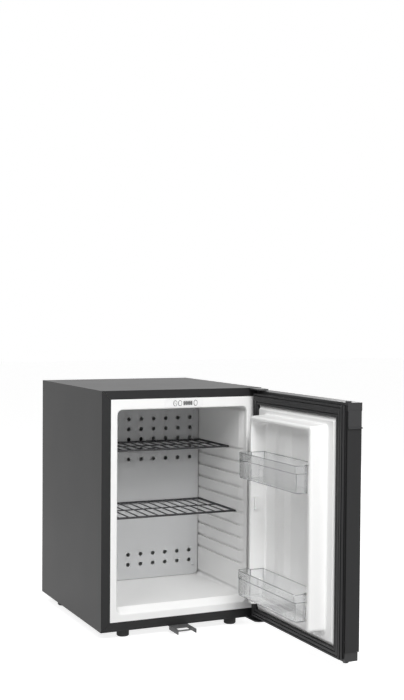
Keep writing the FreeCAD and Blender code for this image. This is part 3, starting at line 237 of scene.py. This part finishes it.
def plain_finish(name, colour, rough, vary, grain=GRAIN, grain_mm=GRAIN_MM, cloud=CLOUD, shine=SHINE):
    """A coat or moulded skin: clouded colour, uneven gloss and a fine grain."""
    surface = Surface(name).set(Specular_IOR_Level=shine)
    clouds = surface.noise(cloud, CLOUD_DETAIL)
    surface.feed(surface.ramp(clouds, shade(colour, 1.0 - vary), shade(colour, 1.0 + vary)), "Base Color")
    smears = surface.noise(cloud * SMEARS_PER_CLOUD, SMEAR_DETAIL)
    uneven = UNEVEN_SHARE * vary + UNEVEN_LEAST
    surface.feed(surface.spread(smears, rough * (1.0 - uneven), rough * (1.0 + uneven)), "Roughness")
    surface.bump(surface.noise(grain, GRAIN_DETAIL), GRAIN_STRENGTH, grain_mm * MM)
    return surface


def metal_finish(name, colour, rough, stretch, grain):
    """Bare metal with fine lines drawn along one direction."""
    surface = Surface(name).set(Metallic=1.0)
    lines = surface.noise(grain, LINE_DETAIL, stretch)
    dark, pale = shade(colour, LINE_DARK_SHARE), shade(colour, LINE_PALE_SHARE)
    surface.feed(surface.ramp(lines, dark, pale), "Base Color")
    surface.feed(surface.spread(lines, rough * LINE_SMOOTH_SHARE, rough * LINE_ROUGH_SHARE), "Roughness")
    surface.bump(lines, LINE_STRENGTH, LINE_DEPTH)
    return surface


def clear_finish(name, colour, alpha=CLEAR_ALPHA, transmission=CLEAR_TRANSMISSION):
    """Clear moulded plastic with faint flow marks."""
    surface = Surface(name).set(Transmission_Weight=transmission, IOR=CLEAR_INDEX, Alpha=alpha)
    surface.set(Base_Color=(*colour, 1.0))
    marks = surface.noise(CLEAR_MARKS, CLEAR_MARK_DETAIL)
    surface.feed(surface.spread(marks, CLEAR_SMOOTH, CLEAR_ROUGH), "Roughness")
    return surface


def make_finishes():
    """One finish for each slot of the record."""
    return {
        "shell_steel": plain_finish(
            "anthracite_coat", (0.021, 0.021, 0.0215), rough=0.42, vary=0.02, cloud=3.0, shine=0.2
        ),
        "cover_steel": plain_finish(
            "cover_coat", (0.03, 0.03, 0.031), rough=0.5, vary=0.03, cloud=3.0, shine=0.25
        ),
        "black_steel": plain_finish(
            "black_coat", (0.018, 0.018, 0.019), rough=0.38, vary=0.1, grain=1200.0
        ),
        "liner_white": plain_finish(
            "liner_skin", (0.86, 0.86, 0.855), rough=0.34, vary=0.008, grain=700.0, grain_mm=0.015, cloud=5.0
        ),
        "panel_grey": plain_finish("panel_skin", (0.52, 0.525, 0.53), rough=0.45, vary=0.01, cloud=5.0),
        "dark_plastic": plain_finish(
            "dark_moulding", (0.028, 0.028, 0.029), rough=0.45, vary=0.04,
            grain=1500.0, grain_mm=0.04, shine=0.35,
        ),
        "fan_black": plain_finish(
            "fan_moulding", (0.022, 0.022, 0.023), rough=0.42, vary=0.1, grain=1200.0, grain_mm=0.03
        ),
        "bush_plastic": plain_finish("bush_moulding", (0.70, 0.69, 0.64), rough=0.4, vary=0.03),
        "foam": plain_finish(
            "foam", (0.78, 0.70, 0.47), rough=0.9, vary=0.08, grain=600.0, grain_mm=0.3, cloud=60.0
        ),
        "fascia_white": plain_finish("fascia_skin", (0.83, 0.83, 0.83), rough=0.4, vary=0.01, grain=1200.0),
        "key_grey": plain_finish(
            "key_skin", (0.80, 0.80, 0.80), rough=0.45, vary=0.02, grain=1500.0, grain_mm=0.03
        ),
        "display_dark": plain_finish(
            "display_window", (0.50, 0.51, 0.50), rough=0.16, vary=0.04, grain=300.0, grain_mm=0.005
        ),
        "board_green": plain_finish(
            "board_mask", (0.03, 0.14, 0.07), rough=0.35, vary=0.15, grain=800.0, grain_mm=0.03, cloud=80.0
        ),
        "lens_white": plain_finish(
            "lens_frosted", (0.86, 0.86, 0.84), rough=0.3, vary=0.01, grain=1500.0, grain_mm=0.04
        ),
        "aluminium": metal_finish(
            "extruded_aluminium", (0.77, 0.78, 0.79), rough=0.34, stretch=(1.0, 1.0, 40.0), grain=60.0
        ),
        "ceramic": plain_finish("ceramic", (0.80, 0.80, 0.77), rough=0.5, vary=0.03),
        "supply_metal": metal_finish(
            "plated_sheet", (0.34, 0.34, 0.345), rough=0.36, stretch=(30.0, 1.0, 1.0), grain=50.0
        ),
        "bracket_steel": plain_finish("bracket_coat", (0.095, 0.095, 0.097), rough=0.4, vary=0.05, shine=0.3),
        "bright_steel": metal_finish(
            "plated_steel", (0.60, 0.60, 0.61), rough=0.28, stretch=(1.0, 1.0, 25.0), grain=90.0
        ),
        "foot_rubber": plain_finish(
            "foot_rubber", (0.016, 0.016, 0.016), rough=0.65, vary=0.15, grain=700.0, grain_mm=0.06
        ),
        "shelf_wire": plain_finish("wire_coat", (0.026, 0.026, 0.029), rough=0.3, vary=0.12, grain=500.0),
        "gasket_rubber": plain_finish(
            "gasket_rubber", (0.027, 0.027, 0.028), rough=0.5, vary=0.05, grain_mm=0.04, shine=0.25
        ),
        "magnet": plain_finish("magnet_strip", (0.045, 0.04, 0.036), rough=0.7, vary=0.1, grain_mm=0.05),
        "clear_plastic": clear_finish("clear_moulding", (0.97, 0.975, 0.98)),
    }


def dress_nodes():
    finishes = make_finishes()
    for entry in frame["record"]["subparts"]:
        node = nodes[entry["node"]]
        material = finishes[entry["material_slot"]].material
        node.data.materials.clear()
        node.data.materials.append(material)


def soften_edges():
    for name, width in BEVELS.items():
        bevel = nodes[name].modifiers.new("soft_edges", "BEVEL")
        bevel.width = width
        bevel.segments = BEVEL_SEGMENTS
        bevel.limit_method = "ANGLE"
        bevel.angle_limit = math.radians(BEVEL_ANGLE_DEG)
        bevel.harden_normals = True


dress_nodes()
soften_edges()


# Thin pieces: painted shade along the edges of the clear bins and in the folds of the gasket, outlines of the
# keys and segments of the display
def place_piece(name, mesh, finish, body):
    mesh.materials.append(finish.material)
    piece = bpy.data.objects.new(name, mesh)
    bpy.context.scene.collection.objects.link(piece)
    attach(piece, body)


def strips(name, lines, radius):
    """Round strips along lines of points, each given with whether it closes on itself."""
    curve = bpy.data.curves.new(name, "CURVE")
    curve.dimensions = "3D"
    curve.bevel_depth = radius
    curve.bevel_resolution = STRIP_RESOLUTION
    curve.use_fill_caps = True
    for points, closed in lines:
        spline = curve.splines.new("POLY")
        spline.points.add(len(points) - 1)
        spline.use_cyclic_u = closed
        for point, place in zip(spline.points, points):
            point.co = (*place, 1.0)
    holder = bpy.data.objects.new(name + "_lines", curve)
    mesh = bpy.data.meshes.new_from_object(holder)
    bpy.data.objects.remove(holder)
    mesh.name = name
    return mesh


def arc(x, y, radius, start, end):
    angles = [math.radians(start + (end - start) * step / ARC_STEPS) for step in range(ARC_STEPS + 1)]
    return [(x + radius * math.cos(angle), y + radius * math.sin(angle)) for angle in angles]


def wing_back(low):
    return low[0] + BIN_RIM_PROUD + BIN_WING


def wing_line(low, high, inset, z, radius):
    """The bin's front outline with its round corners, from one end of the wings to the other."""
    x = low[0] + inset
    y0 = low[1] + inset
    y1 = high[1] - inset
    back = wing_back(low)
    line = [(back, y0)] + arc(x + radius, y0 + radius, radius, DOWN, LEFT)
    line += arc(x + radius, y1 - radius, radius, LEFT, UP) + [(back, y1)]
    return [(*point, z) for point in line]


def bin_edge_shade(node, finish):
    """Grey lines of painted shade along the edges of the rim, the foot, the rounded front corners and the
    narrower part behind the wings.
    """
    low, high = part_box(node)
    back = wing_back(low)
    step = BIN_RIM_PROUD + BIN_OVERLAP
    y0 = low[1] + step
    y1 = high[1] - step
    tail = [(back, y1), (high[0], y1), (high[0], y0), (back, y0)]
    rim = wing_line(low, high, 0.0, high[2], BIN_RADIUS + BIN_RIM_PROUD)
    foot = wing_line(low, high, BIN_RIM_PROUD + BIN_FALL, low[2] + BIN_FALL, BIN_RADIUS - BIN_FALL)
    lines = [
        (rim + [(*point, high[2]) for point in tail], True),
        (wing_line(low, high, 0.0, high[2] - BIN_RIM, BIN_RADIUS + BIN_RIM_PROUD), False),
        (foot + [(*point, low[2]) for point in tail], True),
    ]
    x = low[0] + BIN_RIM_PROUD + BIN_FALL
    for y in (low[1] + BIN_RIM_PROUD + BIN_FALL, high[1] - BIN_RIM_PROUD - BIN_FALL):
        lines.append(([(x, y, low[2] + BIN_RADIUS), (x, y, high[2] - BIN_RIM)], False))
    for y in (y0, y1):
        lines += [([(x, y, low[2]), (x, y, high[2])], False) for x in (back, high[0])]
    place_piece(node + "_edges", strips(node + "_edges", lines, BIN_EDGE), finish, node)


def gasket_fold_shade(finish):
    """Near-black strips around the gasket's outer wall: painted shade for the shadowed grooves of its folds.
    """
    low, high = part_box("door_gasket")
    corners = ((low[1], low[2]), (high[1], low[2]), (high[1], high[2]), (low[1], high[2]))
    lines = [([(low[0] + place, y, z) for y, z in corners], True) for place in FOLD_PLACES]
    place_piece("gasket_fold_shade", strips("gasket_fold_shade", lines, FOLD_LINE), finish, "door")


def key_outline(index, finish):
    """A line around the key, on the fascia's face."""
    low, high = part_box("control_button_%d" % index)
    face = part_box("control_fascia")[0][1]
    half = (high[0] - low[0]) / 2 - KEY_FLANGE + KEY_GAP
    middle = (low[0] + high[0]) / 2
    top = high[2] - KEY_FLANGE + KEY_GAP - half
    bottom = low[2] + KEY_FLANGE - KEY_GAP + half
    line = arc(middle, top, half, RIGHT, LEFT) + arc(middle, bottom, half, LEFT, FULL_TURN)
    points = [(x, face, z) for x, z in line]
    name = "key_%d_outline" % index
    place_piece(name, strips(name, [(points, True)], KEY_LINE), finish, "cabinet")


def key_mark(finish):
    """A slanted bar on the first key."""
    low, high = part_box("control_button_1")
    middle = [(a + b) / 2 for a, b in zip(low, high)]
    x = (high[0] - low[0]) * KEY_MARK_SHARE
    z = (high[2] - low[2]) * KEY_MARK_SHARE
    y = low[1] + KEY_MARK - KEY_MARK_PROUD
    line = [(middle[0] - x, y, middle[2] + z), (middle[0] + x, y, middle[2] - z)]
    name = "key_1_mark"
    place_piece(name, strips(name, [(line, False)], KEY_MARK), finish, "button_1")


def display_segments(finish):
    """Digits with all seven segments."""
    low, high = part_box("display_window")
    face = low[1]
    pitch = (high[0] - low[0]) / DIGIT_COUNT
    wide = pitch * DIGIT_WIDE_SHARE
    tall = (high[2] - low[2]) * DIGIT_TALL_SHARE
    middle = (low[2] + high[2]) / 2
    rows = (middle - tall / 2, middle, middle + tall / 2)
    lines = []
    for index in range(DIGIT_COUNT):
        x0 = low[0] + pitch * (index + 0.5) - wide / 2
        x1 = x0 + wide
        for z in rows:
            lines.append(([(x0 + DIGIT_GAP, face, z), (x1 - DIGIT_GAP, face, z)], False))
        for z0, z1 in zip(rows, rows[1:]):
            lines += [([(x, face, z0 + DIGIT_GAP), (x, face, z1 - DIGIT_GAP)], False) for x in (x0, x1)]
    name = "display_segments"
    place_piece(name, strips(name, lines, DIGIT_LINE), finish, "cabinet")


# The grey strips along the bin edges are painted shade, darker than the clear plastic itself
edge_shade_finish = clear_finish("painted_edge_shade", (0.22, 0.23, 0.23), EDGE_SHADE_ALPHA, EDGE_SHADE_TRANSMISSION)
for bin_node in ("upper_bin", "lower_bin"):
    bin_edge_shade(bin_node, edge_shade_finish)
mark_finish = plain_finish("mark_ink", (0.07, 0.07, 0.07), rough=0.5, vary=0.05, grain_mm=0.01)
for key in KEYS:
    key_outline(key, mark_finish)
key_mark(mark_finish)
# The folds' near-black colour is painted shade of the grooves, darker than the gasket's own rubber
gasket_fold_shade(plain_finish("painted_fold_shade", (0.004, 0.004, 0.004), rough=0.7, vary=0.05, shine=0.05))
display_segments(plain_finish("segment_ink", (0.03, 0.03, 0.032), rough=0.4, vary=0.05, grain_mm=0.01))


# Stage: a pale floor, soft lamps, and surroundings that are white for camera, mirror and glass rays
def seen_directly(tree, hidden, seen):
    """One value for rays from the camera, a mirror or glass, and another for all the rest."""
    path = tree.nodes.new("ShaderNodeLightPath")
    source = path.outputs["Is Camera Ray"]
    for name in ("Is Glossy Ray", "Is Transmission Ray"):
        either = tree.nodes.new("ShaderNodeMath")
        either.operation = "MAXIMUM"
        tree.links.new(source, either.inputs[0])
        tree.links.new(path.outputs[name], either.inputs[1])
        source = either.outputs["Value"]
    level = tree.nodes.new("ShaderNodeMapRange")
    level.inputs["To Min"].default_value = hidden
    level.inputs["To Max"].default_value = seen
    tree.links.new(source, level.inputs["Value"])
    return level.outputs["Result"]


def make_floor():
    low, high = -FLOOR_REACH, FLOOR_REACH
    corners = [(low, low, 0.0), (high, low, 0.0), (high, high, 0.0), (low, high, 0.0)]
    mesh = bpy.data.meshes.new("floor")
    mesh.from_pydata(corners, [], [(0, 1, 2, 3)])
    floor = bpy.data.objects.new("floor", mesh)
    bpy.context.scene.collection.objects.link(floor)
    surface = Surface("floor_white").set(Roughness=FLOOR_ROUGH, Specular_IOR_Level=FLOOR_SHINE)
    surface.set(Base_Color=FLOOR_COLOUR, Emission_Color=WHITE)
    surface.feed(seen_directly(surface.tree, 0.0, FLOOR_GLOW), "Emission Strength")
    mesh.materials.append(surface.material)


def make_world():
    world = bpy.data.worlds.new("surroundings")
    bpy.context.scene.world = world
    world.use_nodes = True
    tree = world.node_tree
    background = tree.nodes["Background"]
    tree.links.new(seen_directly(tree, WORLD_LEVEL, 1.0), background.inputs["Strength"])
    background.inputs["Color"].default_value = WHITE


def make_camera():
    data = bpy.data.cameras.new("camera")
    data.sensor_width = SENSOR_MM
    data.lens = FOCAL_PX / IMAGE_HEIGHT * SENSOR_MM
    camera = bpy.data.objects.new("camera", data)
    camera.location = [a + b for a, b in zip(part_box("left_side_panel")[0], CAMERA_FROM_CORNER)]
    camera.rotation_euler = [math.radians(angle) for angle in (LEVEL_DEG + PITCH_DEG, ROLL_DEG, -YAW_DEG)]
    bpy.context.scene.collection.objects.link(camera)
    bpy.context.scene.camera = camera


def add_lamp(name, place, watts):
    lamp = bpy.data.lights.new(name, "AREA")
    lamp.shape = "DISK"
    lamp.size = LAMP_SIZE
    lamp.energy = watts
    holder = bpy.data.objects.new(name, lamp)
    holder.location = place
    direction = [b - a for a, b in zip(place, LAMP_TARGET)]
    holder.rotation_euler = Vector(direction).to_track_quat("-Z", "Y").to_euler()
    bpy.context.scene.collection.objects.link(holder)


make_floor()
make_world()
make_camera()
for lamp_name, (lamp_place, lamp_watts) in LAMPS.items():
    add_lamp(lamp_name, lamp_place, lamp_watts)
bpy.context.scene.view_settings.view_transform = "Standard"
